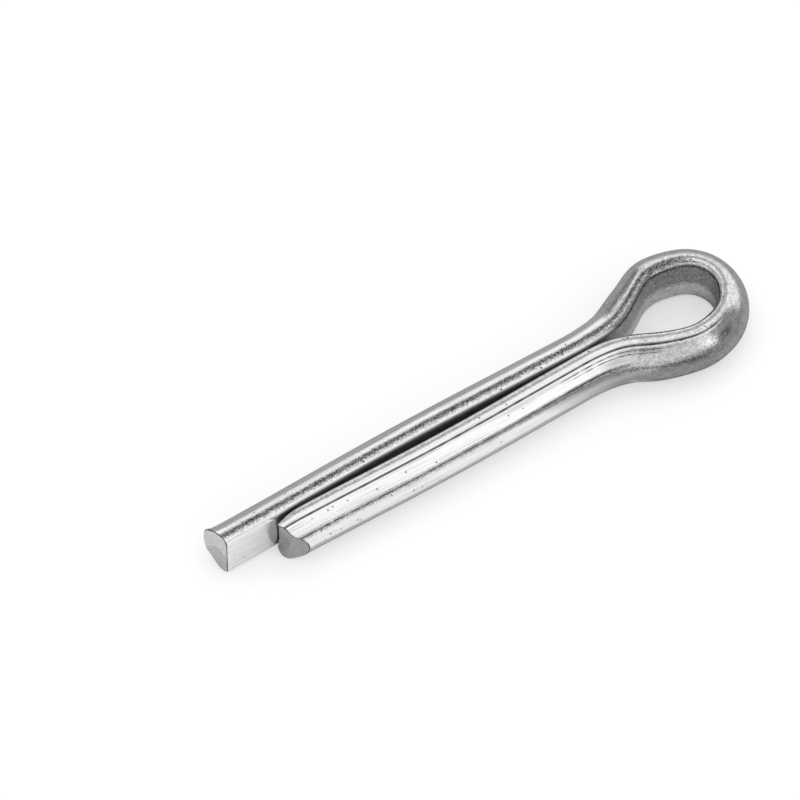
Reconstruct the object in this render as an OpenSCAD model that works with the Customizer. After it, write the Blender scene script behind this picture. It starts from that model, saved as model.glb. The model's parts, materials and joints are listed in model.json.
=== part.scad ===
// Cotter pin: one length of half-round wire, folded on itself.
// The bend makes the eye, and the two halves lie flat to flat as the legs.
// It lies on its side: legs along -X, eye at +X, the eye's opening upright.

/* [Shank] */
// Diameter over the two closed legs
shank_d = 4.6; // [4:0.1:5]
// Width of the wire's flat face, between its rounded edges
flat_w = 3.24; // [2.8:0.02:3.7]
// Slit between the flat faces of the two legs
slit_w = 0.2; // [0.06:0.02:0.4]
// Long leg, from the neck to the far corner of its cut end
long_leg = 30.3; // [28:0.1:60]
// Short leg, from the neck to the far corner of its cut end
short_leg = 26.3; // [12:0.1:29]

/* [Eye] */
// Bend radius of the flat face at the neck, where the legs part
neck_r = 2.9; // [2.6:0.1:5]
// Angle by which each side of the eye opens at the neck
neck_a = 44.5; // [36:0.5:54]
// Bend radius of the flat face along the flanks of the eye
flank_r = 4.4; // [3.4:0.1:7]
// Angle from the pin's axis at which a flank runs into the crown
crown_a = 70; // [60:0.5:84]

/* [Cut ends] */
// Slant of the long leg's sheared end, which leaves its round side the longer
long_slant = 12; // [2:1:25]
// Slant of the short leg's sheared end, which leaves its flat side the longer
short_slant = 30; // [5:1:40]
// Width of the bevel that the blade leaves on the flat side of the short leg's end
bevel_w = 0.5; // [0.1:0.05:0.9]
// Angle of that bevel to the flat face
bevel_slant = 50; // [25:1:70]
// Depth of the dent that the blade leaves on top of the short leg's end
dent_depth = 0.8; // [0.2:0.05:1.2]
// Radius of the blade's nose, which shapes the dent
dent_r = 2.6; // [1.5:0.1:4]
// Swing of the dent round the leg, away from square to it
dent_swing = 25; // [0:1:45]

/* [Hidden] */
$fn = 96;
overrun = 0.5;
place_step = 0.01;

// The wire's section: a circle round the shank's axis, cut by the flat face and rounded at its two edges
shank_r = shank_d / 2;
flat_y = slit_w / 2;
flat_h = flat_w / 2;
wire_t = shank_r - flat_y;
edge_r = (pow(shank_r, 2) - pow(flat_y, 2) - pow(flat_h, 2)) / (2 * (shank_r + flat_y));
wire_h = flat_h + edge_r;

// Centres of the bends, each one tangent to the next, and the crown's radius, which closes the eye
flank_x = (neck_r + flank_r) * sin(neck_a);
flank_y = flat_y + neck_r - (neck_r + flank_r) * cos(neck_a);
crown_r = flank_r + flank_y / sin(crown_a);
crown_x = flank_x + (flank_r - crown_r) * cos(crown_a);

// Reach of the eye, and the middle of the whole pin
eye_end = crown_x + crown_r + wire_t;
middle_x = (eye_end - long_leg) / 2;

// What the edge rounding takes off one corner of the section
module edge_waste() {
  ray = [edge_r + flat_y, flat_h] * (shank_r + overrun) / (shank_r - edge_r);
  past = [ray.x - flat_y, ray.y];
  difference() {
    polygon([[-overrun, flat_h], [edge_r, flat_h], past, [past.x, shank_d], [-overrun, shank_d]]);
    translate([edge_r, flat_h]) circle(r = edge_r);
  }
}

// Half-round section with its flat face on the Y axis and its round side towards +X
module wire_section() {
  difference() {
    translate([-flat_y, 0]) circle(r = shank_r);
    translate([-shank_d, -shank_d]) square([shank_d, 2 * shank_d]);
    edge_waste();
    mirror([0, 1]) edge_waste();
  }
}

// One straight leg, on the +Y side of the slit
module leg(length) {
  translate([-length, flat_y, 0])
    rotate([90, 0, 90])
      linear_extrude(length) wire_section();
}

// A move in two steps, a round one and the small rest, which keeps every digit of a worked-out place
module place(v) {
  round_v = [for (c = v) round(c / place_step) * place_step];
  translate(round_v) translate(v - round_v) children();
}

// Wire bent round a centre, from one angle to another, with its flat face to the inside or the outside
module bend(centre, radius, from_a, to_a, flat_inside) {
  place(centre)
    rotate_extrude(angle = to_a - from_a, start = from_a)
      place([radius, 0])
        mirror([flat_inside ? 0 : 1, 0]) wire_section();
}

// Neck and flank of the eye, on the +Y side
module eye_side() {
  bend([0, flat_y + neck_r, 0], neck_r, -90, neck_a - 90, false);
  bend([flank_x, flank_y, 0], flank_r, crown_a, neck_a + 90, true);
}

module eye() {
  eye_side();
  mirror([0, 1, 0]) eye_side();
  bend([crown_x, 0, 0], crown_r, -crown_a, crown_a, true);
}

// A block that cuts off all that lies beyond an upright plane through a point, the plane turned by an angle
module end_waste(point, turn) {
  translate(point)
    rotate([0, 0, turn])
      translate([-shank_d, -shank_d, -shank_d])
        cube([shank_d, 2 * shank_d, 2 * shank_d]);
}

module long_leg_cut() {
  difference() {
    leg(long_leg);
    end_waste([-long_leg, shank_r], long_slant);
  }
}

// The dent: the round nose of the blade, pressed into the top of the end
module blade_nose() {
  translate([-short_leg, flat_y + wire_t / 2, wire_h - dent_depth + dent_r])
    rotate([90, 0, dent_swing])
      cylinder(r = dent_r, h = 2 * shank_d, center = true);
}

module short_leg_cut() {
  difference() {
    leg(short_leg);
    end_waste([-short_leg, flat_y], -short_slant);
    end_waste([bevel_w - short_leg, flat_y], bevel_slant);
    blade_nose();
  }
}

module cotter_pin() {
  color("silver")
    translate([-middle_x, 0, wire_h]) {
      eye();
      long_leg_cut();
      mirror([0, 1, 0]) short_leg_cut();
    }
}

cotter_pin();
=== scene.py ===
"""Looks of a cotter pin: one length of zinc-plated half-round wire, folded into an eye and two legs."""

import json
import logging
import math
from dataclasses import dataclass, field
from enum import Enum
from typing import Any, Iterable, Iterator

import bmesh
import bpy
import numpy as np
from bmesh.types import BMEdge, BMesh, BMFace, BMVert
from bpy.types import Material, Node, NodeSocket, NodeTree, Object
from mathutils import Matrix, Vector, noise


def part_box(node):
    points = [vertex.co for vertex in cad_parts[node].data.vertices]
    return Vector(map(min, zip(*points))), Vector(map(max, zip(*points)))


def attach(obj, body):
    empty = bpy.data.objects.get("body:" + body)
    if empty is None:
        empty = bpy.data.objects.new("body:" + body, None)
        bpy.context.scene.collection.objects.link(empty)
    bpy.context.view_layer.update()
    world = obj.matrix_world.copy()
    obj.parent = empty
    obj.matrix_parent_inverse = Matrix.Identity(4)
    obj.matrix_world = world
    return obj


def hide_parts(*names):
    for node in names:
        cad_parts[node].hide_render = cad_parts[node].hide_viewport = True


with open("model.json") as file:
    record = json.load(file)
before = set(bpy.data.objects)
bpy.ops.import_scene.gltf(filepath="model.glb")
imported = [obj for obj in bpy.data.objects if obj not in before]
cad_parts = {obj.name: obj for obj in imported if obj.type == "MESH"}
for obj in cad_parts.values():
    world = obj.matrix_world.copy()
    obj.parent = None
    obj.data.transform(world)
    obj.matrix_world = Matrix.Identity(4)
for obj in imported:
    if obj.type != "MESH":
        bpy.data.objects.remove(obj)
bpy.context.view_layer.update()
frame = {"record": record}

LOG = logging.getLogger("cotter_pin")
MM = 0.001
PIN_NODE = "cotter_pin"
LEG_DIFFERENCE = 4.0 * MM

# Layers of the pin's vertices: their place on the wire, how coarse and how dull the wire is there, the
# painted shade on its dull flat and in its lap lines, and the number of their outline
WIRE_PLACE = "wire_place"
ROUGH_PLACE = "rough_place"
DULL_SHADE_PLACE = "dull_shade_place"
LAP_SHADE_PLACE = "lap_shade_place"
STATION = "station"

ORIGIN = Vector((0.0, 0.0, 0.0))
AHEAD = Vector((1.0, 0.0, 0.0))
UP = Vector((0.0, 0.0, 1.0))
WHITE = (1.0, 1.0, 1.0, 1.0)
FULL = (0.0, 1.0)

Pair = tuple[float, float]
Level = float | NodeSocket


def smooth_step(value: float) -> float:
    """Eases a value from 0 to 1, held flat outside that range."""
    t = max(0.0, min(1.0, value))
    return t * t * (3.0 - 2.0 * t)


def within(place: float, start: float, end: float, fade: float) -> float:
    """How far a place is inside a stretch: 1 within it, and easing to 0 at its two ends."""
    return smooth_step((place - start) / fade) * smooth_step((end - place) / fade)


def bell(aside: float) -> float:
    """A bell curve, which is 1 at zero and almost 0 from 2 on."""
    return math.exp(-(aside**2))


def towards(azimuth: float, elevation: float) -> Vector:
    """Direction away from the pin, by its angle from -Y towards +X and its angle over the table."""
    level = Vector((math.sin(azimuth), -math.cos(azimuth), 0.0))
    return level * math.cos(elevation) + UP * math.sin(elevation)


def aim(item: Object, back: Vector) -> None:
    """Turns a camera or lamp so that a direction points straight back from it."""
    item.rotation_mode = "QUATERNION"
    item.rotation_quaternion = (-back).to_track_quat("-Z", "Y")


def mesh_object(name: str, bm: BMesh) -> Object:
    """Turns a finished bmesh into an object of the scene.

    Args:
        name: Name of the object and of its mesh.
        bm: The bmesh, which is freed.

    Returns:
        The object.
    """
    mesh = bpy.data.meshes.new(name)
    bm.to_mesh(mesh)
    bm.free()
    made = bpy.data.objects.new(name, mesh)
    bpy.context.scene.collection.objects.link(made)
    return made


class Leg(Enum):
    """The two legs, by the side of the slit on which they lie."""

    LONG = 1.0
    SHORT = -1.0


class Surface(Enum):
    """The pin's kinds of surface, by the place of their material on the mesh."""

    WIRE = 0
    LONG_END = 1
    SHORT_END = 2
    CUT_EDGE = 3


class Nodes:
    """Adds and joins the nodes of one node tree."""

    def __init__(self, tree: NodeTree) -> None:
        """Takes on the node tree of a material or of the world, and empties it."""
        self.tree = tree
        self.tree.nodes.clear()

    def add(self, kind: str, inputs: dict[str | int, Any] | None = None, **settings: Any) -> Node:
        """Adds a node and fills its sockets.

        Args:
            kind: The node's type name.
            inputs: A value for each socket, by name or number, or an output socket to join to it.
            settings: Properties of the node itself.

        Returns:
            The new node.
        """
        node = self.tree.nodes.new(kind)
        for name, value in settings.items():
            setattr(node, name, value)
        for name, value in (inputs or {}).items():
            if isinstance(value, NodeSocket):
                self.tree.links.new(value, node.inputs[name])
            else:
                node.inputs[name].default_value = value
        return node

    def noise(self, vector: NodeSocket, grain: Iterable[float], detail: float = 2.0) -> NodeSocket:
        """Noise whose grains have a given size along each axis of a coordinate.

        Args:
            vector: The coordinate, in metres.
            grain: Size of a grain along each axis, in metres.
            detail: Number of finer layers.

        Returns:
            The noise value, around 0.5.
        """
        scale = Vector(1.0 / size for size in grain)
        mapping = self.add("ShaderNodeMapping", {"Vector": vector, "Scale": scale})
        inputs = {"Vector": mapping.outputs["Vector"], "Scale": 1.0, "Detail": detail}
        return self.add("ShaderNodeTexNoise", inputs).outputs["Fac"]

    def math(self, operation: str, first: Level, second: Level = 0.0) -> NodeSocket:
        """One sum on two numbers or sockets, by its name, such as MULTIPLY."""
        return self.add("ShaderNodeMath", {0: first, 1: second}, operation=operation).outputs["Value"]

    def spread(self, value: Level, ends: Pair, results: tuple[Level, Level]) -> NodeSocket:
        """Maps a value from one range to another, held at its ends.

        Args:
            value: The value to map.
            ends: The values that give the first and the last result.
            results: The first and the last result.

        Returns:
            The mapped value.
        """
        sockets = ("Value", "From Min", "From Max", "To Min", "To Max")
        inputs = dict(zip(sockets, (value, *ends, *results)))
        return self.add("ShaderNodeMapRange", inputs).outputs["Result"]

    def mix(self, share: Level, first: NodeSocket, second: NodeSocket) -> NodeSocket:
        """Mixes two shaders, by the share of the second one."""
        return self.add("ShaderNodeMixShader", {0: share, 1: first, 2: second}).outputs["Shader"]

    def metal(self, grey: NodeSocket, inputs: dict[str, Level]) -> None:
        """Ends a material's tree in bare metal.

        Args:
            grey: How light the metal is.
            inputs: The shader's other sockets, such as its roughness.
        """
        colour = self.add("ShaderNodeCombineColor", {"Red": grey, "Green": grey, "Blue": grey})
        inputs = {"Base Color": colour.outputs["Color"], "Metallic": 1.0, **inputs}
        shader = self.add("ShaderNodeBsdfPrincipled", inputs)
        self.add("ShaderNodeOutputMaterial", {"Surface": shader.outputs["BSDF"]})


def new_tree(name: str) -> tuple[Material, Nodes]:
    """Makes an empty node material.

    Args:
        name: The material's name.

    Returns:
        The material and the builder of its nodes.
    """
    material = bpy.data.materials.new(name)
    material.use_nodes = True
    return material, Nodes(material.node_tree)


@dataclass(frozen=True)
class ZincFinish:
    """Bright zinc plating on drawn wire: draw marks, some nicks, a coarse grain where it was worked, and
    painted shade on the dull flats and in the lap lines.
    """

    # Sizes and depths of the marks
    grain: float = 0.095 * MM
    fine_depth: float = 0.004 * MM
    rough_depth: float = 0.03 * MM
    streak_w: float = 0.08 * MM
    streak_l: float = 4.0 * MM
    streak_depth: float = 0.006 * MM
    wave_w: float = 0.9 * MM
    wave_l: float = 5.4 * MM
    wave_depth: float = 0.008 * MM
    nick_apart: float = 0.75 * MM
    nick_r: float = 0.08 * MM
    nick_floor: float = 0.3
    nick_depth: float = 0.05 * MM
    blotch: float = 0.3 * MM

    # Greys of the plain plating, how much each kind of place darkens them (painted shade on the dull flats
    # and in the lap lines), and what a speck leaves of them
    dark: float = 0.7
    light: float = 0.93
    blotch_dark: float = 0.25
    coarse_dark: float = 0.6
    dull_shade_dark: float = 0.4
    lap_shade: float = 0.94
    speck: float = 0.12

    # Roughness across the draw marks, and what dull places add to it
    smooth: float = 0.08
    rough: float = 0.17
    dull_rough: float = 0.35

    # Levels of its texture between which each mark sets in
    streak_ends: Pair = (0.36, 0.5)
    gloss_ends: Pair = (0.35, 0.7)
    speck_ends: Pair = (0.45, 0.56)
    blotch_ends: Pair = (0.36, 0.6)

    # Coarseness between which draw marks give way, blotches set in, and the plating darkens
    drawn_gone: Pair = (0.0, 0.2)
    blotched: Pair = (0.05, 0.25)
    darkened: Pair = (0.4, 1.0)

    def textures(self, nodes: Nodes) -> dict[str, NodeSocket]:
        """The textures of the surface, each from 0 to 1.

        Args:
            nodes: Builder of the material's nodes.

        Returns:
            The textures, by name.
        """
        place = nodes.add("ShaderNodeTexCoord").outputs["Object"]
        along = nodes.add("ShaderNodeAttribute", attribute_name=WIRE_PLACE).outputs["Vector"]
        cells = nodes.add("ShaderNodeTexVoronoi", {"Vector": place, "Scale": 1.0 / self.nick_apart})
        nick_share = self.nick_r / self.nick_apart
        nick_ends = (self.nick_floor * nick_share, nick_share)
        looks = {
            "grain": nodes.noise(place, (self.grain,) * 3),
            "streaks": nodes.noise(along, (self.streak_w, self.streak_w, self.streak_l), detail=3.0),
            "waves": nodes.noise(along, (self.wave_w, self.wave_w, self.wave_l), detail=1.0),
            "blotches": nodes.noise(place, (self.blotch,) * 3, detail=3.0),
            "nicks": nodes.spread(cells.outputs["Distance"], nick_ends, FULL),
        }
        for name in (ROUGH_PLACE, DULL_SHADE_PLACE, LAP_SHADE_PLACE):
            looks[name] = nodes.add("ShaderNodeAttribute", attribute_name=name).outputs["Fac"]
        return looks

    def grey(self, nodes: Nodes, looks: dict[str, NodeSocket]) -> NodeSocket:
        """How light the plating is: darker in draw marks, blotches, specks and nicks, and with painted shade
        on dull places and in lap lines.

        Args:
            nodes: Builder of the material's nodes.
            looks: The surface's textures.

        Returns:
            The grey level.
        """
        coarse = looks[ROUGH_PLACE]
        drawn = nodes.spread(looks["streaks"], self.streak_ends, (self.dark, self.light))
        blotches = nodes.spread(looks["blotches"], self.blotch_ends, (1.0 - self.blotch_dark, 1.0))
        grains = nodes.spread(looks["grain"], self.speck_ends, (1.0, 0.0))
        specks = nodes.math("MULTIPLY", coarse, grains)
        grey = nodes.spread(coarse, self.drawn_gone, (drawn, self.light))
        for share in (
            nodes.spread(coarse, self.blotched, (1.0, blotches)),
            # On the upper part of the eye's inner wall, this coarse darkening is partly painted shade
            nodes.spread(coarse, self.darkened, (1.0, 1.0 - self.coarse_dark)),
            nodes.spread(specks, FULL, (1.0, self.speck)),
            nodes.spread(looks["nicks"], FULL, (self.speck, 1.0)),
            # Painted shade: the dull flat in the slit between the legs and on the eye's inner wall, and the
            # lap lines' grooves
            nodes.spread(looks[DULL_SHADE_PLACE], FULL, (1.0, 1.0 - self.dull_shade_dark)),
            nodes.spread(looks[LAP_SHADE_PLACE], FULL, (1.0, 1.0 - self.lap_shade)),
        ):
            grey = nodes.math("MULTIPLY", grey, share)
        return grey

    def material(self) -> Material:
        """The node material of the plated wire.

        Returns:
            The material.
        """
        material, nodes = new_tree("zinc_plated_wire")
        looks = self.textures(nodes)
        depths = {
            "waves": self.wave_depth,
            "streaks": self.streak_depth,
            "grain": nodes.spread(looks[ROUGH_PLACE], FULL, (self.fine_depth, self.rough_depth)),
            "nicks": self.nick_depth,
        }
        relief: dict[str, NodeSocket] = {}
        for name, depth in depths.items():
            bump = nodes.add("ShaderNodeBump", {"Height": looks[name], "Distance": depth, **relief})
            relief = {"Normal": bump.outputs["Normal"]}
        drawn = nodes.spread(looks["streaks"], self.gloss_ends, (self.smooth, self.rough))
        dull = nodes.math("MULTIPLY", looks[DULL_SHADE_PLACE], self.dull_rough)
        roughness = nodes.math("ADD", drawn, dull)
        nodes.metal(self.grey(nodes, looks), {"Roughness": roughness, **relief})
        return material


@dataclass(frozen=True)
class ShearedFinish:
    """A cut end, plated over what the blade left: a burnished part beside torn steel, dull and pitted.

    Attributes:
        name: Name of the material.
        dark: Darkest grey of the torn part.
        light: Lightest grey of the torn part.
        burnished: How many times as light the burnished part is.
        turn: Turn of the border between the two parts, round the wire.
        border: Half the width of that border.
        tear: Size of the tears.
        tear_depth: Their depth.
        tear_ends: Levels of the tears' texture between which it counts for the border and the roughness.
        grey_ends: Levels of that texture between which it counts for the grey.
        smooth: Least roughness.
        rough: Greatest roughness.
    """

    name: str
    dark: float
    light: float
    burnished: float
    turn: float
    border: float = 0.075 * MM
    tear: float = 0.25 * MM
    tear_depth: float = 0.03 * MM
    tear_ends: Pair = (0.3, 0.7)
    grey_ends: Pair = (0.35, 0.65)
    smooth: float = 0.5
    rough: float = 0.7

    def material(self) -> Material:
        """The node material of the cut end.

        Returns:
            The material.
        """
        material, nodes = new_tree(self.name)
        place = nodes.add("ShaderNodeTexCoord").outputs["Object"]
        along = nodes.add("ShaderNodeAttribute", attribute_name=WIRE_PLACE).outputs["Vector"]
        inputs = {"Vector": along, "Angle": self.turn}
        turned = nodes.add("ShaderNodeVectorRotate", inputs, rotation_type="Z_AXIS").outputs["Vector"]
        across = nodes.add("ShaderNodeSeparateXYZ", {"Vector": turned}).outputs["Y"]
        tears = nodes.noise(place, (self.tear,) * 3, detail=4.0)
        ragged = nodes.math("ADD", across, nodes.spread(tears, self.tear_ends, (-self.tear, self.tear)))
        shine = nodes.spread(ragged, (-self.border, self.border), (1.0, self.burnished))
        grey = nodes.math("MULTIPLY", nodes.spread(tears, self.grey_ends, (self.dark, self.light)), shine)
        roughness = nodes.spread(tears, self.tear_ends, (self.smooth, self.rough))
        bump = nodes.add("ShaderNodeBump", {"Height": tears, "Distance": self.tear_depth})
        nodes.metal(grey, {"Roughness": roughness, "Normal": bump.outputs["Normal"]})
        return material


@dataclass(frozen=True)
class EdgeFinish:
    """The thin rim of a cut end, kept near black with lighter flecks."""

    dark: float = 0.06
    light: float = 0.18
    chip: float = 0.2 * MM
    chip_ends: Pair = (0.4, 0.7)
    rough: float = 0.5

    def material(self) -> Material:
        """The node material of the cut ends' rims.

        Returns:
            The material.
        """
        material, nodes = new_tree("dark_rim_edge")
        place = nodes.add("ShaderNodeTexCoord").outputs["Object"]
        chips = nodes.noise(place, (self.chip,) * 3)
        grey = nodes.spread(chips, self.chip_ends, (self.dark, self.light))
        nodes.metal(grey, {"Roughness": self.rough})
        return material


@dataclass(frozen=True)
class Lap:
    """A lap line: a fine groove that drawing left along the top of the wire.

    Attributes:
        depth: Its distance from the flat.
        width: Its width.
        drop: Its depth.
        start: Where it starts, as a distance along the wire from the crown towards the short end.
        end: Where it ends, measured alike.
        fade: Length over which it sets in and dies out.
        ragged: How much of it is missing where it is most broken, up to 1.
        gap_l: Length of the breaks in it.
        gap_mean: Level round which the breaks swing.
        gap_swing: How far they swing.
    """

    depth: float
    width: float
    drop: float
    start: float
    end: float
    fade: float
    ragged: float
    gap_l: float = 0.6 * MM
    gap_mean: float = 0.5
    gap_swing: float = 0.8

    def at(self, along: float) -> float:
        """How much of its depth the groove has at a place along the wire.

        Args:
            along: Distance of the place from the crown, positive towards the short end.

        Returns:
            The share of the depth, up to 1.
        """
        swing = self.gap_swing * noise.noise(Vector((along / self.gap_l, 0.0, self.depth / MM)))
        missing = self.ragged * smooth_step(self.gap_mean - swing)
        return within(along, self.start, self.end, self.fade) * (1.0 - missing)


@dataclass(frozen=True)
class WireSection:
    """Section of the wire: a circle round the shank's axis, cut by the flat and rounded at its two edges."""

    shank_r: float
    flat_w: float = 3.24 * MM
    slit_w: float = 0.2 * MM
    laps: tuple[Lap, ...] = (
        Lap(0.97 * MM, 0.2 * MM, drop=0.04 * MM, start=1.5 * MM, end=40.0 * MM, fade=3.5 * MM, ragged=0.35),
        Lap(1.23 * MM, 0.12 * MM, drop=0.02 * MM, start=4.0 * MM, end=17.0 * MM, fade=4.0 * MM, ragged=1.0),
        Lap(1.4 * MM, 0.12 * MM, drop=0.02 * MM, start=5.0 * MM, end=15.0 * MM, fade=4.0 * MM, ragged=1.0),
        Lap(1.86 * MM, 0.16 * MM, drop=0.03 * MM, start=8.0 * MM, end=40.0 * MM, fade=4.0 * MM, ragged=0.8),
    )
    lap_reach: float = 0.49
    merge_l: float = 0.003 * MM
    lap_steps: int = 4
    round_step: float = math.radians(2.8)
    edge_steps: int = 14
    flat_steps: int = 10

    @property
    def flat_y(self) -> float:
        """Distance of the flat from the shank's axis."""
        return self.slit_w / 2.0

    @property
    def flat_h(self) -> float:
        """Half the width of the flat."""
        return self.flat_w / 2.0

    @property
    def edge_r(self) -> float:
        """Radius of the edges, which touch both the flat and the circle."""
        room = self.shank_r**2 - self.flat_y**2 - self.flat_h**2
        return room / (2.0 * (self.shank_r + self.flat_y))

    @property
    def thickness(self) -> float:
        """Thickness from the flat to the crown of the round side."""
        return self.shank_r - self.flat_y

    def lap_a(self, lap: Lap) -> float:
        """Angle round the shank's axis at which a lap line lies, from the middle of the round side."""
        return math.acos((lap.depth + self.flat_y) / self.shank_r)

    def in_lap(self, lap: Lap, depth: float, height: float) -> float:
        """How deep in a lap line a place on the section is, from 0 beside it to 1 at its middle."""
        aside = self.shank_r * (math.atan2(height, depth + self.flat_y) - self.lap_a(lap))
        return max(0.0, 1.0 - abs(aside) / (self.lap_reach * lap.width))

    def round_arcs(self, round_a: float) -> Iterator[tuple[float, int]]:
        """Arcs of the round side from top to bottom, with finer steps where a lap line lies.

        Args:
            round_a: Angle from the middle of the round side to its top.

        Yields:
            The angle and the number of steps of each arc.
        """
        left = round_a
        for lap in self.laps:
            half = lap.width / (2.0 * self.shank_r)
            lead = left - self.lap_a(lap) - half
            yield lead, max(1, round(lead / self.round_step))
            yield 2.0 * half, self.lap_steps
            left = self.lap_a(lap) - half
        yield left + round_a, round((left + round_a) / self.round_step)

    def draw(self, bm: BMesh, x: float) -> list[BMEdge]:
        """Draws the closed outline of the long leg, square to X, by spinning one vertex round its arcs.

        Args:
            bm: The mesh to draw in.
            x: Place of the section along the leg.

        Returns:
            The outline's edges.
        """
        edge_y = self.flat_y + self.edge_r
        round_a = math.atan2(self.flat_h, edge_y)
        shank = Vector((x, 0.0, 0.0))
        arcs = (
            (Vector((x, edge_y, self.flat_h)), math.pi - round_a, self.edge_steps),
            *((shank, angle, steps) for angle, steps in self.round_arcs(round_a)),
            (Vector((x, edge_y, -self.flat_h)), math.pi - round_a, self.edge_steps),
        )
        last = bm.verts.new((x, self.flat_y, self.flat_h))
        for centre, angle, steps in arcs:
            spun = bmesh.ops.spin(bm, geom=[last], cent=centre, axis=AHEAD, angle=-angle, steps=steps)
            last = next(item for item in spun["geom_last"] if isinstance(item, BMVert))
        rise = Vector((0.0, 0.0, self.flat_w / self.flat_steps))
        for _ in range(self.flat_steps):
            grown = bmesh.ops.extrude_vert_indiv(bm, verts=[last])
            last = grown["verts"][0]
            bmesh.ops.translate(bm, verts=[last], vec=rise)
        bmesh.ops.remove_doubles(bm, verts=bm.verts[:], dist=self.merge_l)
        return bm.edges[:]


@dataclass(frozen=True)
class Stretch:
    """One stretch of the wire's path: straight where it has no turn, or a bend round an upright axis."""

    length: float
    steps: int
    turn: float = 0.0
    centre: Vector = ORIGIN

    def step(self, heading: float) -> Matrix:
        """The move from one station to the next.

        Args:
            heading: Direction of the wire at the station, as a turn from +X.

        Returns:
            The move's matrix.
        """
        if self.turn:
            turned = Matrix.Rotation(self.turn / self.steps, 4, "Z")
            return Matrix.Translation(self.centre) @ turned @ Matrix.Translation(-self.centre)
        ahead = Vector((math.cos(heading), math.sin(heading), 0.0))
        return Matrix.Translation(ahead * self.length / self.steps)


@dataclass(frozen=True)
class Station:
    """One outline along the wire: how far it is from the long leg's start, and its direction."""

    travel: float
    heading: float

    @property
    def outward(self) -> Vector:
        """Direction from the flat to the round side."""
        return Vector((-math.sin(self.heading), math.cos(self.heading), 0.0))


@dataclass(frozen=True)
class Mark:
    """One mark of the shearing blade.

    Attributes:
        direction: Where it is round the section, in degrees from the round side towards the top.
        spread: How far round the section it is felt, in degrees.
        move: How far the wire has moved at its middle.
    """

    direction: float
    spread: float
    move: float

    def at(self, direction: float) -> float:
        """How far the wire has moved in a direction round the section."""
        apart = (direction - self.direction + 180.0) % 360.0 - 180.0
        return self.move * bell(apart / self.spread)


@dataclass(frozen=True)
class CutEnd:
    """How the blade left one leg's end.

    Attributes:
        corner: Side of the leg that is left longest, as a distance from the shank's axis.
        slant: Angle of the cut to a square one.
        set_back: How far the longest side falls short of the leg's full length.
        reach: How far along the leg the pressed edges are felt.
        pressed: Edges that were pressed out, or in below zero.
        lips: Lips that were left standing out of the end.
        finish: Finish of the cut face.
        middle: Point of the section round which the marks are placed, from the flat and upwards.
        steep: How steeply the pressing fades along the leg, as a power.
    """

    corner: float
    slant: float
    set_back: float
    reach: float
    pressed: tuple[Mark, ...]
    lips: tuple[Mark, ...]
    finish: ShearedFinish
    middle: Vector = Vector((1.0 * MM, 0.0))
    steep: int = 3

    @property
    def facing(self) -> Vector:
        """Direction in which the cut faces."""
        return Vector((-math.cos(self.slant), -math.sin(self.slant), 0.0))

    def direction(self, depth: float, height: float) -> float:
        """Direction of a place on the section, in degrees from the round side towards the top."""
        return math.degrees(math.atan2(height - self.middle.y, depth - self.middle.x))

    def press(self, depth: float, height: float, inside: float) -> Vector:
        """How one point of the wire was pressed aside.

        Args:
            depth: Distance of the point from the flat.
            height: Height of the point over the middle of the flat.
            inside: Distance of the point from the leg's end.

        Returns:
            The move across the wire: away from the flat, and upwards.
        """
        out = (Vector((depth, height)) - self.middle).normalized()
        along = max(0.0, 1.0 - inside / self.reach) ** self.steep
        return out * along * sum(mark.at(self.direction(depth, height)) for mark in self.pressed)

    def fall_short(self, depth: float, height: float, side: float) -> float:
        """How far the end falls short at a place, where side is its distance from the shank's axis."""
        lip = sum(mark.at(self.direction(depth, height)) for mark in self.lips)
        return self.set_back + abs(side - self.corner) * math.tan(self.slant) - lip


@dataclass(frozen=True)
class Band:
    """A band along the wire on which the plating is coarse.

    Attributes:
        depth: Its distance from the flat.
        width: How far to each side it is felt.
        share: How coarse it is, up to 1.
        start: Where it starts along the wire, from the crown, and below zero on the long leg's side.
        end: Where it ends, measured alike.
        fade: Length over which it sets in and dies out.
    """

    depth: float
    width: float
    share: float
    start: float
    end: float
    fade: float = 2.5 * MM

    def at(self, depth: float, along: float) -> float:
        """How coarse the plating is at a place on the wire."""
        inside = within(along, self.start, self.end, self.fade)
        return self.share * inside * bell((depth - self.depth) / self.width)


@dataclass(frozen=True)
class Sway:
    """One small sideways sway of the eye.

    Attributes:
        leg: The leg on whose side of the eye it is.
        place: Its distance from the neck along the pin.
        reach: How far along the pin it is felt.
        sideways: How far the wire sways at its middle, towards +Y.
    """

    leg: Leg
    place: float
    reach: float
    sideways: float

    def at(self, x: float) -> float:
        """How far the wire sways at a place along the pin."""
        return self.sideways * bell((x - self.place) / self.reach)


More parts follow.
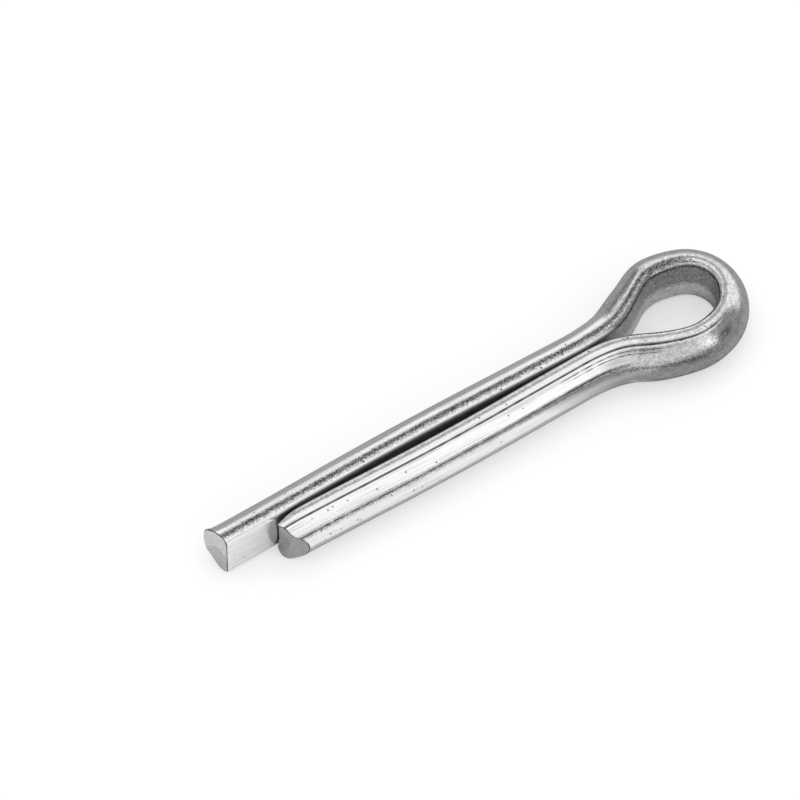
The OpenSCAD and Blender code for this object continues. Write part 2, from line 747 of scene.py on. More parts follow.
@dataclass
class CotterPin:
    """The whole pin, made like the real one: half-round wire, bent round the eye and sheared at both ends."""

    section: WireSection
    long_leg: float
    short_leg: float

    # Bends of the eye
    neck_r: float = 2.9 * MM
    neck_a: float = math.radians(44.5)
    flank_r: float = 4.4 * MM
    crown_a: float = math.radians(70.0)

    # Steps of the mesh along the wire, which are finer before the necks and at the tips
    leg_step: float = 0.25 * MM
    lead_l: float = 3.0 * MM
    lead_step: float = 0.1 * MM
    tip_l: float = 2.6 * MM
    tip_step: float = 0.08 * MM
    bend_step: float = math.radians(2.5)

    # What bending leaves: bowed legs, thick necks, soft changes of curve, a thin crown and an eye that sways
    bow: float = 0.1 * MM
    close: float = 0.08 * MM
    close_share: float = 1.0 / 12.0
    swell: dict[Leg, float] = field(default_factory=lambda: {Leg.LONG: 0.02, Leg.SHORT: 0.07})
    swell_shift: float = 1.0 * MM
    neck_reach: float = 2.5 * MM
    ease_l: float = 0.2 * MM
    neck_ease_l: float = 0.9 * MM
    crown_thin: float = 0.22 * MM
    thin_place: float = -0.8 * MM
    thin_reach: float = 3.2 * MM
    sways: tuple[Sway, ...] = (
        Sway(Leg.LONG, place=2.6 * MM, reach=1.3 * MM, sideways=-0.2 * MM),
        Sway(Leg.LONG, place=4.6 * MM, reach=1.6 * MM, sideways=0.12 * MM),
        Sway(Leg.SHORT, place=1.1 * MM, reach=1.2 * MM, sideways=-0.16 * MM),
        Sway(Leg.SHORT, place=3.8 * MM, reach=1.4 * MM, sideways=0.1 * MM),
    )

    # Where the plating is coarse: in bands, round the eye, and most on the upper part of the eye's inner
    # wall, where its darkening is partly painted shade and its lighter foot is a painted reflection of the
    # lit floor
    bands: tuple[Band, ...] = (
        Band(0.5 * MM, 0.22 * MM, share=1.0, start=-45.0 * MM, end=-0.5 * MM, fade=5.0 * MM),
        Band(0.4 * MM, 0.34 * MM, share=1.0, start=-6.5 * MM, end=-0.5 * MM),
        Band(0.4 * MM, 0.25 * MM, share=0.3, start=0.0, end=45.0 * MM),
        Band(1.9 * MM, 0.1 * MM, share=0.6, start=8.0 * MM, end=45.0 * MM),
        Band(2.02 * MM, 0.1 * MM, share=0.8, start=2.5 * MM, end=12.0 * MM),
    )
    eye_coarse: float = 0.25
    eye_reach_share: float = 1.1
    eye_fade_share: float = 1.0 / 3.0
    wall_coarse_shade: float = 0.75
    wall_foot_share: float = -0.3
    wall_fade_share: float = 0.2

    # Where the flat is dull and carries painted shade, and how deep in a lap line its painted shade is
    # darkest
    wall_dull_shade: float = 0.2
    dull_edge: float = 0.2 * MM
    slit_start: float = 3.8 * MM
    slit_fade: float = 3.0 * MM
    lap_full: float = 0.5

    # Cut ends: length that follows their slant, their rims, and their slightly hollow and uneven faces
    slant_l: float = 4.0 * MM
    rim_w: float = 0.08 * MM
    rim_drop: float = 0.05 * MM
    dish: float = 0.06 * MM
    uneven_w: float = 0.5 * MM
    end_rings: int = 6
    ends: dict[Leg, CutEnd] = field(default_factory=dict)

    # Outlines along the wire, filled in as it is swept
    stations: list[Station] = field(default_factory=list)
    rings: list[list[BMVert]] = field(default_factory=list)

    @property
    def flank_centre(self) -> Vector:
        """Centre of the flank's bend on the long leg's side."""
        reach = self.neck_r + self.flank_r
        side = self.section.flat_y + self.neck_r - reach * math.cos(self.neck_a)
        return Vector((reach * math.sin(self.neck_a), side, 0.0))

    @property
    def crown_r(self) -> float:
        """Radius of the crown, which closes the eye."""
        return self.flank_r + self.flank_centre.y / math.sin(self.crown_a)

    @property
    def crown_centre(self) -> Vector:
        """Centre of the crown's bend."""
        back = (self.flank_r - self.crown_r) * math.cos(self.crown_a)
        return Vector((self.flank_centre.x + back, 0.0, 0.0))

    @property
    def eye_end(self) -> float:
        """Reach of the eye from the neck."""
        return self.crown_centre.x + self.crown_r + self.section.thickness

    def bend(self, centre: Vector, radius: float, turn: float) -> Stretch:
        """A bend of the path, by the radius of its flat face and its turn, positive to the left."""
        steps = max(1, round(abs(turn) / self.bend_step))
        return Stretch(abs(turn) * radius, steps, turn, centre)

    def straight(self, length: float, step: float) -> Stretch:
        """A straight stretch, with steps of about a given length."""
        return Stretch(length, round(length / step))

    def path(self) -> Iterator[Stretch]:
        """The wire's path, from the long leg's end, round the eye, to the short leg's end.

        Yields:
            The stretches of the path, in order.
        """
        neck = Vector((0.0, self.section.flat_y + self.neck_r, 0.0))
        flank = self.flank_centre
        across = Matrix.Diagonal((1.0, -1.0, 1.0))
        flank_turn = self.crown_a - math.pi / 2.0 - self.neck_a
        yield self.straight(self.tip_l, self.tip_step)
        yield self.straight(self.long_leg - self.tip_l - self.lead_l, self.leg_step)
        yield self.straight(self.lead_l, self.lead_step)
        yield self.bend(neck, self.neck_r, self.neck_a)
        yield self.bend(flank, self.flank_r, flank_turn)
        yield self.bend(self.crown_centre, self.crown_r, -2.0 * self.crown_a)
        yield self.bend(across @ flank, self.flank_r, flank_turn)
        yield self.bend(across @ neck, self.neck_r, self.neck_a)
        yield self.straight(self.lead_l, self.lead_step)
        yield self.straight(self.short_leg - self.tip_l - self.lead_l, self.leg_step)
        yield self.straight(self.tip_l, self.tip_step)

    def sweep(self, bm: BMesh) -> None:
        """Extrudes the section along the path, and notes on each vertex where on the wire it is.

        Args:
            bm: The empty mesh to build in.
        """
        loop = self.section.draw(bm, -self.long_leg)
        place = bm.verts.layers.float_vector.new(WIRE_PLACE)
        number = bm.verts.layers.int.new(STATION)
        for vert in bm.verts:
            vert[place] = Vector((vert.co.y - self.section.flat_y, vert.co.z, 0.0))
        self.stations = [Station(0.0, 0.0)]
        self.rings = [bm.verts[:]]
        for stretch in self.path():
            for _ in range(stretch.steps):
                here = self.stations[-1]
                grown = bmesh.ops.extrude_edge_only(bm, edges=loop)["geom"]
                verts = [item for item in grown if isinstance(item, BMVert)]
                bmesh.ops.transform(bm, matrix=stretch.step(here.heading), verts=verts)
                travel = here.travel + stretch.length / stretch.steps
                self.stations.append(Station(travel, here.heading + stretch.turn / stretch.steps))
                for vert in verts:
                    vert[number] = len(self.stations) - 1
                    vert[place] = Vector((vert[place].x, vert[place].y, travel))
                fresh = set(verts)
                self.rings.append([
                    next(edge.other_vert(vert) for edge in vert.link_edges if edge.other_vert(vert) in fresh)
                    for vert in self.rings[-1]
                ])
                loop = [item for item in grown if isinstance(item, BMEdge) and fresh.issuperset(item.verts)]

    @property
    def crown_travel(self) -> float:
        """Distance along the wire from the long leg's start to the middle of the crown."""
        return (self.stations[-1].travel + self.long_leg - self.short_leg) / 2.0

    def past_neck(self, station: Station) -> float:
        """How far past the middle of the nearest neck an outline is.

        Args:
            station: The outline.

        Returns:
            The distance along the wire, positive towards the crown.
        """
        neck_l = self.neck_r * self.neck_a
        past_long_leg = station.travel - self.long_leg
        past_short_leg = self.stations[-1].travel - self.short_leg - station.travel
        return min(past_long_leg, past_short_leg) - neck_l / 2.0

    def ease_bends(self) -> None:
        """Evens out each line along the wire over its length, so that bends run softly into each other."""
        # The easing is even within the reach of a neck, and back to that of the legs at twice its reach
        asides = [abs(self.past_neck(station)) for station in self.stations]
        near = [smooth_step(2.0 - aside / self.neck_reach) for aside in asides]
        reach = self.ease_l + np.array(near) * (self.neck_ease_l - self.ease_l)
        for line in zip(*self.rings):
            places = np.array([vert.co for vert in line])
            along = np.concatenate(([0.0], np.cumsum(np.linalg.norm(np.diff(places, axis=0), axis=1))))
            shares = np.exp(-0.5 * ((along - along[:, None]) / reach[:, None]) ** 2) * np.gradient(along)
            eased = shares @ places / shares.sum(axis=1, keepdims=True)
            for vert, station, place in zip(line, self.stations, eased):
                if min(station.travel, self.stations[-1].travel - station.travel) > self.tip_l:
                    vert.co = place

    def sway_eye(self, bm: BMesh) -> None:
        """Sways the eye a little from side to side of the pin's line, as hand-fed bending leaves it.

        Args:
            bm: The swept wire.
        """
        for vert in bm.verts:
            leg = Leg.LONG if vert.co.y > 0.0 else Leg.SHORT
            vert.co.y += sum(sway.at(vert.co.x) for sway in self.sways if sway.leg is leg)

    def leg_length(self, leg: Leg) -> float:
        """Length of one leg, from the neck to the far corner of its end."""
        return self.long_leg if leg is Leg.LONG else self.short_leg

    def bow_legs(self, bm: BMesh) -> None:
        """Bows both legs slightly outwards at mid-length, and closes them at the neck and at their tips.

        Args:
            bm: The swept wire.
        """
        for vert in bm.verts:
            if vert.co.x < 0.0:
                leg = Leg.LONG if vert.co.y > 0.0 else Leg.SHORT
                share = min(1.0, -vert.co.x / self.leg_length(leg))
                out = (self.bow + self.close) * math.sin(math.pi * share) ** 2
                vert.co.y += leg.value * (out - self.close * smooth_step(share / self.close_share))

    def swell_necks(self, bm: BMesh) -> None:
        """Thickens the wire on the hollow side of the two neck bends, where bending piles it up.

        Args:
            bm: The swept wire.
        """
        place = bm.verts.layers.float_vector[WIRE_PLACE]
        number = bm.verts.layers.int[STATION]
        for vert in bm.verts:
            station = self.stations[vert[number]]
            leg = Leg.LONG if station.travel < self.stations[-1].travel / 2.0 else Leg.SHORT
            share = smooth_step(1.0 - abs(self.past_neck(station) + self.swell_shift) / self.neck_reach)
            vert.co += station.outward * (vert[place].x * self.swell[leg] * share)

    def thin_crown(self, bm: BMesh) -> None:
        """Thins the wire from its flat side at the crown, where bending stretches it.

        Args:
            bm: The swept wire.
        """
        place = bm.verts.layers.float_vector[WIRE_PLACE]
        number = bm.verts.layers.int[STATION]
        middle = self.crown_travel + self.thin_place
        for vert in bm.verts:
            station = self.stations[vert[number]]
            share = smooth_step(1.0 - abs(station.travel - middle) / self.thin_reach)
            inner = 1.0 - vert[place].x / self.section.thickness
            vert.co += station.outward * (self.crown_thin * inner * share)

    def mark_places(self, bm: BMesh) -> None:
        """Notes where the plating is coarse, and where the flat is dull and carries painted shade: in the
        slit and on the eye's wall.

        Args:
            bm: The swept wire.
        """
        place = bm.verts.layers.float_vector[WIRE_PLACE]
        rough = bm.verts.layers.float.new(ROUGH_PLACE)
        dull = bm.verts.layers.float.new(DULL_SHADE_PLACE)
        eye_half = (self.stations[-1].travel - self.long_leg - self.short_leg) / 2.0
        for vert in bm.verts:
            depth, height, travel = vert[place]
            along = travel - self.crown_travel
            in_eye = smooth_step((self.eye_reach_share - abs(along) / eye_half) / self.eye_fade_share)
            flat = smooth_step(1.0 - depth / self.dull_edge)
            in_slit = smooth_step((travel - self.slit_start) / self.slit_fade)
            # The eye's inner wall is coarsest and dullest on its upper part, partly as painted shade of the
            # eye's hollow; its foot is left lighter as a painted reflection of the lit floor
            upper = smooth_step((height / self.section.flat_h - self.wall_foot_share) / self.wall_fade_share)
            wall = in_eye * (self.eye_coarse + (self.wall_coarse_shade - self.eye_coarse) * flat * upper)
            vert[rough] = max(wall, *(band.at(depth, along) for band in self.bands))
            # The dull flat is also darkened as painted shade, in the slit and on the upper part of the eye's
            # inner wall
            vert[dull] = flat * in_slit * (1.0 + (self.wall_dull_shade * upper - 1.0) * in_eye)

    def cut_laps(self, bm: BMesh) -> None:
        """Cuts the lap lines into the short leg and its side of the eye, and notes the painted shade in their
        grooves.

        Args:
            bm: The swept wire.
        """
        place = bm.verts.layers.float_vector[WIRE_PLACE]
        number = bm.verts.layers.int[STATION]
        dark = bm.verts.layers.float.new(LAP_SHADE_PLACE)
        for vert in bm.verts:
            depth, height, travel = vert[place]
            for lap in self.section.laps:
                in_lap = self.section.in_lap(lap, depth, height) * lap.at(travel - self.crown_travel)
                if in_lap > 0.0:
                    # The groove's darkening is painted shade
                    vert[dark] = min(1.0, in_lap / self.lap_full)
                    angle = self.section.lap_a(lap)
                    out = self.stations[vert[number]].outward * math.cos(angle) + UP * math.sin(angle)
                    vert.co -= out * (lap.drop * in_lap)

    def press_end(self, bm: BMesh, leg: Leg) -> None:
        """Presses the edges of one leg's end, as the shearing blade did.

        Args:
            bm: The swept wire.
            leg: The leg to press.
        """
        place = bm.verts.layers.float_vector[WIRE_PLACE]
        end = self.ends[leg]
        for vert in bm.verts:
            inside = vert.co.x + self.leg_length(leg)
            if vert.co.y * leg.value > 0.0 and inside < end.reach:
                depth, height, _ = vert[place]
                move = end.press(depth, height, inside)
                vert.co += Vector((0.0, leg.value * move.x, move.y))

    def slant_end(self, bm: BMesh, leg: Leg) -> None:
        """Draws the outlines near one leg's end into line with its cut.

        Args:
            bm: The swept wire.
            leg: The leg to slant.
        """
        place = bm.verts.layers.float_vector[WIRE_PLACE]
        end = self.ends[leg]
        for vert in bm.verts:
            inside = vert.co.x + self.leg_length(leg)
            if vert.co.y * leg.value > 0.0 and inside < self.slant_l:
                depth, height, _ = vert[place]
                short = end.fall_short(depth, height, vert.co.y * leg.value)
                vert.co.x += short * smooth_step(1.0 - inside / self.slant_l)

    def cap_end(self, bm: BMesh, leg: Leg) -> None:
        """Closes one leg's end with a dark rim and a dull, slightly hollow face.

        Args:
            bm: The swept wire.
            leg: The leg to close.
        """
        away = self.ends[leg].facing
        loop = [edge for edge in bm.edges if edge.is_boundary and edge.verts[0].co.y * leg.value > 0.0]
        for edge in loop:
            edge.smooth = False
        corners = [vert for vert in bm.verts if vert.is_boundary and vert.co.y * leg.value > 0.0]
        middle = sum((vert.co for vert in corners), Vector()) / len(corners)
        rim_share = 1.0 - self.rim_w / self.section.thickness
        loop = self.draw_in(bm, loop, middle, rim_share, Surface.CUT_EDGE, away * self.rim_drop)
        for edge in loop:
            edge.smooth = False
        surface = Surface.LONG_END if leg is Leg.LONG else Surface.SHORT_END
        for left in range(self.end_rings, 1, -1):
            dish = -away * self.dish / self.end_rings
            loop = self.draw_in(bm, loop, middle, (left - 1.0) / left, surface, dish)
        for face in bmesh.ops.contextual_create(bm, geom=loop)["faces"]:
            face.material_index = surface.value
            bmesh.ops.poke(bm, faces=[face])

    def draw_in(
        self, bm: BMesh, loop: list[BMEdge], middle: Vector, share: float, surface: Surface, move: Vector
    ) -> list[BMEdge]:
        """Adds one ring of faces inside an open end.

        Args:
            bm: The pin's mesh.
            loop: The edges round the open end.
            middle: Point towards which the ring is drawn.
            share: Size of the ring's inner side against its outer side.
            surface: Kind of surface of the new faces.
            move: Move of the ring's inner side.

        Returns:
            The edges of the inner side.
        """
        grown = bmesh.ops.extrude_edge_only(bm, edges=loop)["geom"]
        verts = [item for item in grown if isinstance(item, BMVert)]
        bmesh.ops.scale(bm, vec=(share,) * 3, space=Matrix.Translation(-middle), verts=verts)
        for vert in verts:
            vert.co += move * (1.0 + noise.noise(vert.co / self.uneven_w))
        for item in grown:
            if isinstance(item, BMFace):
                item.material_index = surface.value
        fresh = set(verts)
        return [item for item in grown if isinstance(item, BMEdge) and fresh.issuperset(item.verts)]

    def build(self) -> Object:
        """Makes the pin's mesh in the shared frame.

        Returns:
            The pin's object, undressed.
        """
        bm = bmesh.new()
        self.sweep(bm)
        self.swell_necks(bm)
        self.thin_crown(bm)
        self.ease_bends()
        self.bow_legs(bm)
        self.sway_eye(bm)
        self.mark_places(bm)
        self.cut_laps(bm)
        for leg in Leg:
            self.press_end(bm, leg)
            self.slant_end(bm, leg)
            self.cap_end(bm, leg)
        low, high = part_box(PIN_NODE)
        rise = self.section.flat_h + self.section.edge_r
        bmesh.ops.translate(bm, verts=bm.verts[:], vec=Vector((high.x - self.eye_end, 0.0, low.z + rise)))
        bmesh.ops.recalc_face_normals(bm, faces=bm.faces[:])
        for face in bm.faces:
            face.smooth = True
        bm.verts.layers.int.remove(bm.verts.layers.int[STATION])
        return mesh_object("zinc_cotter_pin", bm)

    def dress(self, pin: Object) -> None:
        """Gives the pin its finishes and sets it in place of the plain solid.

        Args:
            pin: The pin's object.
        """
        finishes = {
            Surface.WIRE: ZincFinish(),
            Surface.LONG_END: self.ends[Leg.LONG].finish,
            Surface.SHORT_END: self.ends[Leg.SHORT].finish,
            Surface.CUT_EDGE: EdgeFinish(),
        }
        for surface in Surface:
            pin.data.materials.append(finishes[surface].material())
        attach(pin, "root")
        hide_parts(PIN_NODE)


@dataclass(frozen=True)
class PhotoCamera:
    """A long lens that looks down on the pin from the near side of the legs."""

    target: Vector = Vector((-3.15 * MM, 5.24 * MM, 0.0))
    azimuth: float = math.radians(-32.19)
    elevation: float = math.radians(59.57)
    distance: float = 565.0 * MM
    view_w: float = 53.11 * MM
    sensor: float = 36.0
    clip: float = 100.0

    @property
    def back(self) -> Vector:
        """Direction from the pin to the camera."""
        return towards(self.azimuth, self.elevation)

    def build(self) -> Object:
        """Sets the scene's camera.

        Returns:
            The camera's object.
        """
        data = bpy.data.cameras.new("photo_camera")
        data.sensor_width = self.sensor
        data.lens = self.sensor * self.distance / self.view_w
        data.clip_start = self.distance / self.clip
        data.clip_end = self.distance * self.clip
        camera = bpy.data.objects.new("photo_camera", data)
        camera.location = self.target + self.back * self.distance
        aim(camera, self.back)
        bpy.context.scene.collection.objects.link(camera)
        bpy.context.scene.camera = camera
        return camera


@dataclass(frozen=True)
class Softbox:
    """A soft lamp that is aimed at the pin, and doesn't show in its reflections.

    Attributes:
        name: Its name.
        azimuth: Where it is round the pin, in degrees to the right of the camera.
        elevation: How high it is over the table, in degrees.
        distance: Its distance from the pin.
        width: Its width.
        height: Its height.
        radiance: How bright its face is.
    """

    name: str
    azimuth: float
    elevation: float
    distance: float
    width: float
    height: float
    radiance: float

    def build(self, front: float) -> Object:
        """Hangs the lamp.

        Args:
            front: Azimuth of the camera, in degrees.

        Returns:
            The lamp's object.
        """
        data = bpy.data.lights.new(self.name, "AREA")
        data.shape = "RECTANGLE"
        data.size = self.width
        data.size_y = self.height
        data.energy = self.radiance * math.pi * self.width * self.height
        lamp = bpy.data.objects.new(self.name, data)
        back = towards(math.radians(front + self.azimuth), math.radians(self.elevation))
        lamp.location = back * self.distance
        aim(lamp, back)
        lamp.visible_camera = False
        lamp.visible_glossy = False
        bpy.context.scene.collection.objects.link(lamp)
        return lamp


def only_in_reflections(card: Object) -> None:
    """Hides a card from all but the rays that metal reflects.

    Args:
        card: The panel's or the mat's object.
    """
    for ray in ("camera", "diffuse", "shadow", "transmission", "volume_scatter"):
        setattr(card, "visible_" + ray, False)


@dataclass(frozen=True)
class Card:
    """A panel that stands bent round the pin, with soft edges, and only shows in its reflections.

    Attributes:
        name: Its name.
        azimuths: Where it starts and ends round the pin, in degrees to the right of the camera.
        elevations: Where it starts and ends over the table, in degrees.
        level: How bright it is, where 1 is white.
        soft: Width of its soft edges, in degrees.
        distance: Its distance from the pin.
        step: Size of its faces, in degrees.
    """

    name: str
    azimuths: Pair
    elevations: Pair
    level: float
    soft: float
    distance: float
    step: float = 2.0

    def cover(self, place: Vector, front: float) -> float:
        """How dense the panel is at a point, from 0 at its edges to 1.

        Args:
            place: The point.
            front: Azimuth of the camera, in degrees.

        Returns:
            The density.
        """
        up = math.degrees(math.asin(max(-1.0, min(1.0, place.z / place.length))))
        around = math.degrees(math.atan2(place.x, -place.y)) - front
        width = self.azimuths[1] - self.azimuths[0]
        along = (around - self.azimuths[0]) % 360.0
        if along > (width + 360.0) / 2.0:
            along -= 360.0
        within_edges = min(up - self.elevations[0], self.elevations[1] - up, along, width - along)
        return smooth_step(within_edges / self.soft)

    def build(self, front: float) -> Object:
        """Stands the panel up.

        Args:
            front: Azimuth of the camera, in degrees.

        Returns:
            The panel's object.
        """
        start, end = (math.radians(front + angle) for angle in self.azimuths)
        low, high = (math.radians(angle) for angle in self.elevations)
        bm = bmesh.new()
        corner = bm.verts.new(towards(start, low) * self.distance)
        tilt = towards(start, 0.0).cross(UP)
        rows = math.ceil(math.degrees(high - low) / self.step)
        bmesh.ops.spin(bm, geom=[corner], cent=ORIGIN, axis=tilt, angle=high - low, steps=rows)
        side = [*bm.verts, *bm.edges]
        columns = math.ceil(math.degrees(end - start) / self.step)
        bmesh.ops.spin(bm, geom=side, cent=ORIGIN, axis=UP, angle=end - start, steps=columns)
        cover = bm.verts.layers.float.new("cover")
        for vert in bm.verts:
            vert[cover] = self.cover(vert.co, front)
        material, nodes = new_tree(self.name)
        dense = nodes.add("ShaderNodeAttribute", attribute_name="cover").outputs["Fac"]
        clear = nodes.add("ShaderNodeBsdfTransparent").outputs["BSDF"]
        grey = nodes.add("ShaderNodeEmission", {"Color": WHITE, "Strength": self.level}).outputs["Emission"]
        nodes.add("ShaderNodeOutputMaterial", {"Surface": nodes.mix(dense, clear, grey)})
        card = mesh_object(self.name, bm)
        card.data.materials.append(material)
        only_in_reflections(card)
        return card


@dataclass(frozen=True)
class Mat:
    """A grey mat on the table that only shows in the pin's reflections."""

    name: str = "grey_mat"
    size: float = 1.0
    lift: float = 0.002 * MM
    grey: float = 0.34
    soft: float = 1.2 * MM
    eye_soft: float = 2.5 * MM

    # The part behind the legs, from the long tip on
    left_x: float = -19.6 * MM
    near_y: float = 0.5 * MM

    # The part beside the eye, and how thinly it goes on beside the legs
    eye_x: float = 7.5 * MM
    thin: float = 0.18

    # The shade before the short leg
    shade_x: float = -15.0 * MM
    shade_y: Pair = (-3.8 * MM, -2.9 * MM)
    shade: float = 0.75

    # The thin place in the eye's opening
    eye_start: float = 11.0 * MM
    eye_end: float = 17.0 * MM
    eye_half: float = 2.2 * MM
    eye_share: float = 0.25

    # The darker part in front of the eye
    front_x: float = 8.0 * MM
    front_y: float = -7.0 * MM
    front_grey: float = 0.25

    def material(self) -> Material:
        """The node material of the mat, which is clear where the mat isn't.

        Returns:
            The material.
        """
        material, nodes = new_tree(self.name)
        place = nodes.add("ShaderNodeTexCoord").outputs["Object"]
        axes = nodes.add("ShaderNodeSeparateXYZ", {"Vector": place}).outputs
        behind = nodes.spread(axes["Y"], (self.near_y - self.soft, self.near_y + self.soft), FULL)
        past_tip = nodes.spread(axes["X"], (self.left_x - self.soft, self.left_x), FULL)
        eye_ends = (self.eye_x - self.eye_soft, self.eye_x + self.eye_soft)
        by_eye = nodes.spread(axes["X"], eye_ends, (self.thin, 1.0))
        by_leg = nodes.spread(axes["Y"], self.shade_y, (0.0, self.shade))
        past_end = nodes.spread(axes["X"], (self.shade_x - self.soft, self.shade_x), FULL)
        dense = nodes.math("MAXIMUM", nodes.math("MULTIPLY", behind, past_tip), by_eye)
        dense = nodes.math("MAXIMUM", dense, nodes.math("MULTIPLY", by_leg, past_end))
        aside = nodes.math("ABSOLUTE", axes["Y"])
        off_axis = nodes.spread(aside, (self.eye_half, self.eye_half + self.soft), FULL)
        before_eye = nodes.spread(axes["X"], (self.eye_start - self.soft, self.eye_start), (1.0, 0.0))
        past_eye = nodes.spread(axes["X"], (self.eye_end, self.eye_end + self.soft), FULL)
        outside_eye = nodes.math("MAXIMUM", off_axis, nodes.math("MAXIMUM", before_eye, past_eye))
        dense = nodes.math("MULTIPLY", dense, nodes.math("MAXIMUM", outside_eye, self.eye_share))
        nearer = nodes.spread(axes["Y"], (self.front_y - self.soft, self.front_y + self.soft), (1.0, 0.0))
        front_ends = (self.front_x - self.eye_soft, self.front_x + self.eye_soft)
        in_front = nodes.math("MULTIPLY", nearer, nodes.spread(axes["X"], front_ends, FULL))
        level = nodes.spread(in_front, FULL, (self.grey, self.front_grey))
        clear = nodes.add("ShaderNodeBsdfTransparent").outputs["BSDF"]
        grey = nodes.add("ShaderNodeBsdfDiffuse", {"Color": level}).outputs["BSDF"]
        mixed = nodes.mix(nodes.math("MAXIMUM", dense, in_front), clear, grey)
        nodes.add("ShaderNodeOutputMaterial", {"Surface": mixed})
        return material

    def build(self) -> Object:
        """Lays the mat out.

        Returns:
            The mat's object.
        """
        bm = bmesh.new()
        bmesh.ops.create_grid(bm, x_segments=1, y_segments=1, size=self.size)
        bmesh.ops.translate(bm, verts=bm.verts[:], vec=UP * self.lift)
        mat = mesh_object(self.name, bm)
        mat.data.materials.append(self.material())
        only_in_reflections(mat)
        return mat


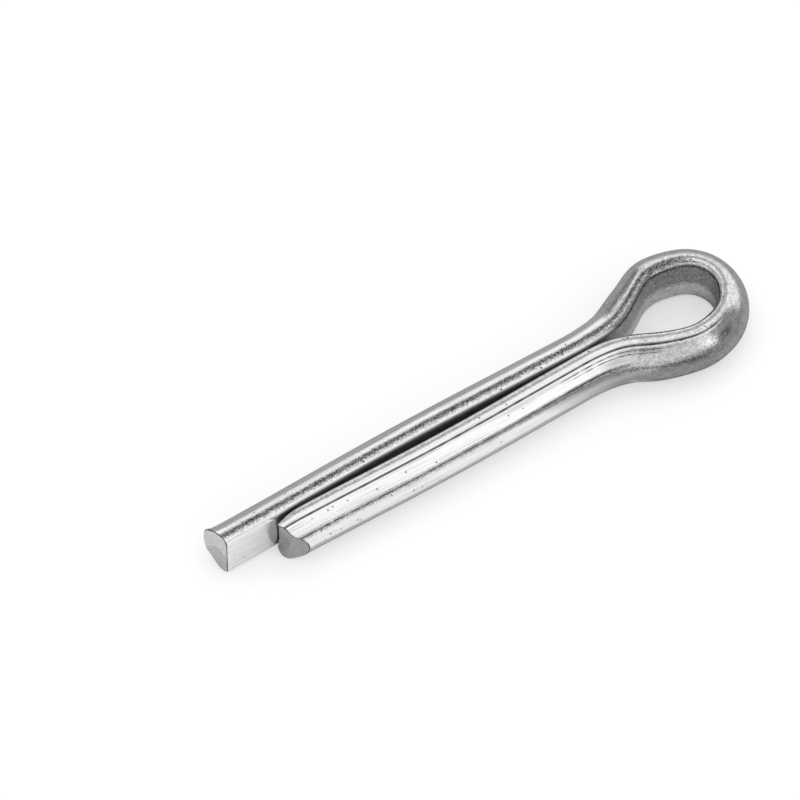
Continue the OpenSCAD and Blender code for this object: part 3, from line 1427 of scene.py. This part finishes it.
@dataclass(frozen=True)
class Studio:
    """A white table under soft lamps, with a mat and panels round the pin for the metal to reflect."""

    floor_r: float = 3.0
    floor_white: float = 0.96
    glow_share: float = 0.5
    fill: float = 0.8
    near_r: float = 70.0 * MM
    far_r: float = 220.0 * MM
    mat: Mat = Mat()
    lamps: tuple[Softbox, ...] = (
        Softbox(
            "top_softbox", azimuth=0.0, elevation=90.0, distance=0.7, width=0.68, height=0.68, radiance=1.25
        ),
        Softbox(
            "right_softbox", azimuth=54.0, elevation=28.0, distance=0.6, width=0.22, height=0.5, radiance=1.2
        ),
    )

    # The panels overlap, and a nearer one hides those behind it
    cards: tuple[Card, ...] = (
        Card("front_high_gap", (-26.0, 16.0), (42.0, 70.0), level=0.12, soft=6.0, distance=0.395),
        Card("front_gap", (-80.0, 44.0), (46.0, 66.0), level=0.45, soft=6.0, distance=0.40),
        Card("rear_gap", (146.0, 232.0), (26.0, 70.0), level=0.5, soft=10.0, distance=0.41),
        Card("strip_panel", (43.0, 63.0), (3.0, 54.0), level=1.1, soft=4.0, distance=0.42),
        Card("right_low_panel", (58.0, 82.0), (-5.0, 24.0), level=0.12, soft=5.0, distance=0.425),
        Card("right_panel", (58.0, 108.0), (-4.0, 52.0), level=0.3, soft=6.0, distance=0.43),
        Card("left_rear_panel", (-160.0, -118.0), (-4.0, 22.0), level=0.2, soft=5.0, distance=0.44),
        Card("left_panel", (-125.0, -55.0), (-4.0, 55.0), level=0.5, soft=6.0, distance=0.45),
        Card("front_low_panel", (-62.0, 80.0), (-5.0, 7.0), level=0.3, soft=3.0, distance=0.46),
        Card("front_panel", (-62.0, 46.0), (4.0, 50.0), level=0.72, soft=4.0, distance=0.47),
    )

    def floor(self) -> Object:
        """The white table, which keeps the pin's shadow and runs out into plain white.

        Returns:
            The floor's object.
        """
        material, nodes = new_tree("white_table")
        place = nodes.add("ShaderNodeTexCoord").outputs["Object"]
        away = nodes.add("ShaderNodeVectorMath", {"Vector": place}, operation="LENGTH").outputs["Value"]
        plain = nodes.spread(away, (self.near_r, self.far_r), (self.glow_share, 1.0))
        path = nodes.add("ShaderNodeLightPath").outputs
        seen = nodes.math("MULTIPLY", plain, path["Is Camera Ray"])
        white = (self.floor_white,) * 3 + (1.0,)
        table = nodes.add("ShaderNodeBsdfDiffuse", {"Color": white}).outputs["BSDF"]
        glow = nodes.add("ShaderNodeEmission", {"Color": WHITE, "Strength": 1.0}).outputs["Emission"]
        nodes.add("ShaderNodeOutputMaterial", {"Surface": nodes.mix(seen, table, glow)})
        bm = bmesh.new()
        bmesh.ops.create_circle(bm, cap_ends=True, segments=64, radius=self.floor_r)
        floor = mesh_object("white_table", bm)
        floor.data.materials.append(material)
        return floor

    def surround(self) -> None:
        """A world that is white to the eye and in reflections, and a soft fill light otherwise."""
        world = bpy.data.worlds.new("studio")
        world.use_nodes = True
        bpy.context.scene.world = world
        nodes = Nodes(world.node_tree)
        path = nodes.add("ShaderNodeLightPath").outputs
        seen = nodes.math("MAXIMUM", path["Is Camera Ray"], path["Is Glossy Ray"])
        seen = nodes.math("MAXIMUM", seen, path["Is Transmission Ray"])
        fill = nodes.add("ShaderNodeBackground", {"Color": WHITE, "Strength": self.fill})
        white = nodes.add("ShaderNodeBackground", {"Color": WHITE, "Strength": 1.0})
        mixed = nodes.mix(seen, fill.outputs["Background"], white.outputs["Background"])
        nodes.add("ShaderNodeOutputWorld", {"Surface": mixed})

    def build(self, front: float) -> None:
        """Sets up the table, the surround, the mat, the lamps and the panels.

        Args:
            front: Azimuth of the camera, in degrees.
        """
        self.floor()
        self.surround()
        self.mat.build()
        for item in (*self.lamps, *self.cards):
            item.build(front)
            LOG.info("set up %s", item.name)
        bpy.context.scene.view_settings.view_transform = "Standard"


def pin_from_frame() -> CotterPin:
    """Takes the pin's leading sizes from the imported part, and says how its two ends were cut.

    Returns:
        The pin, sized to its shank mount.
    """
    shank = next(mount for mount in frame["record"]["mounts"] if mount["name"] == "shank")
    section = WireSection(shank["dims"]["r_mm"] * MM)
    long_leg = shank["dims"]["length_mm"] * MM
    pin = CotterPin(section, long_leg, long_leg - LEG_DIFFERENCE)
    pin.ends[Leg.LONG] = CutEnd(
        corner=section.shank_r,
        slant=math.radians(12.0),
        set_back=0.0,
        reach=1.2 * MM,
        pressed=(Mark(direction=60.0, spread=35.0, move=0.15 * MM),),
        lips=(),
        finish=ShearedFinish(
            "sheared_long_end", dark=0.5, light=0.62, burnished=1.2, turn=math.radians(20.0)
        ),
    )
    pin.ends[Leg.SHORT] = CutEnd(
        corner=section.flat_y,
        slant=math.radians(25.5),
        set_back=0.38 * MM,
        reach=2.6 * MM,
        pressed=(Mark(direction=118.0, spread=24.0, move=-0.42 * MM),),
        lips=(
            Mark(direction=75.0, spread=26.0, move=0.58 * MM),
            Mark(direction=104.0, spread=12.0, move=0.4 * MM),
            Mark(direction=2.0, spread=24.0, move=-0.08 * MM),
            Mark(direction=-88.0, spread=24.0, move=0.5 * MM),
        ),
        finish=ShearedFinish(
            "sheared_short_end", dark=0.38, light=0.5, burnished=1.08, turn=math.radians(-70.0)
        ),
    )
    return pin


def main() -> None:
    """Builds the pin, the studio and the camera."""
    logging.basicConfig(level=logging.INFO, format="%(name)s: %(message)s")
    maker = pin_from_frame()
    pin = maker.build()
    maker.dress(pin)
    LOG.info("built %s with %d faces", pin.name, len(pin.data.polygons))
    camera = PhotoCamera()
    camera.build()
    Studio().build(math.degrees(camera.azimuth))


if __name__ == "__main__":
    main()
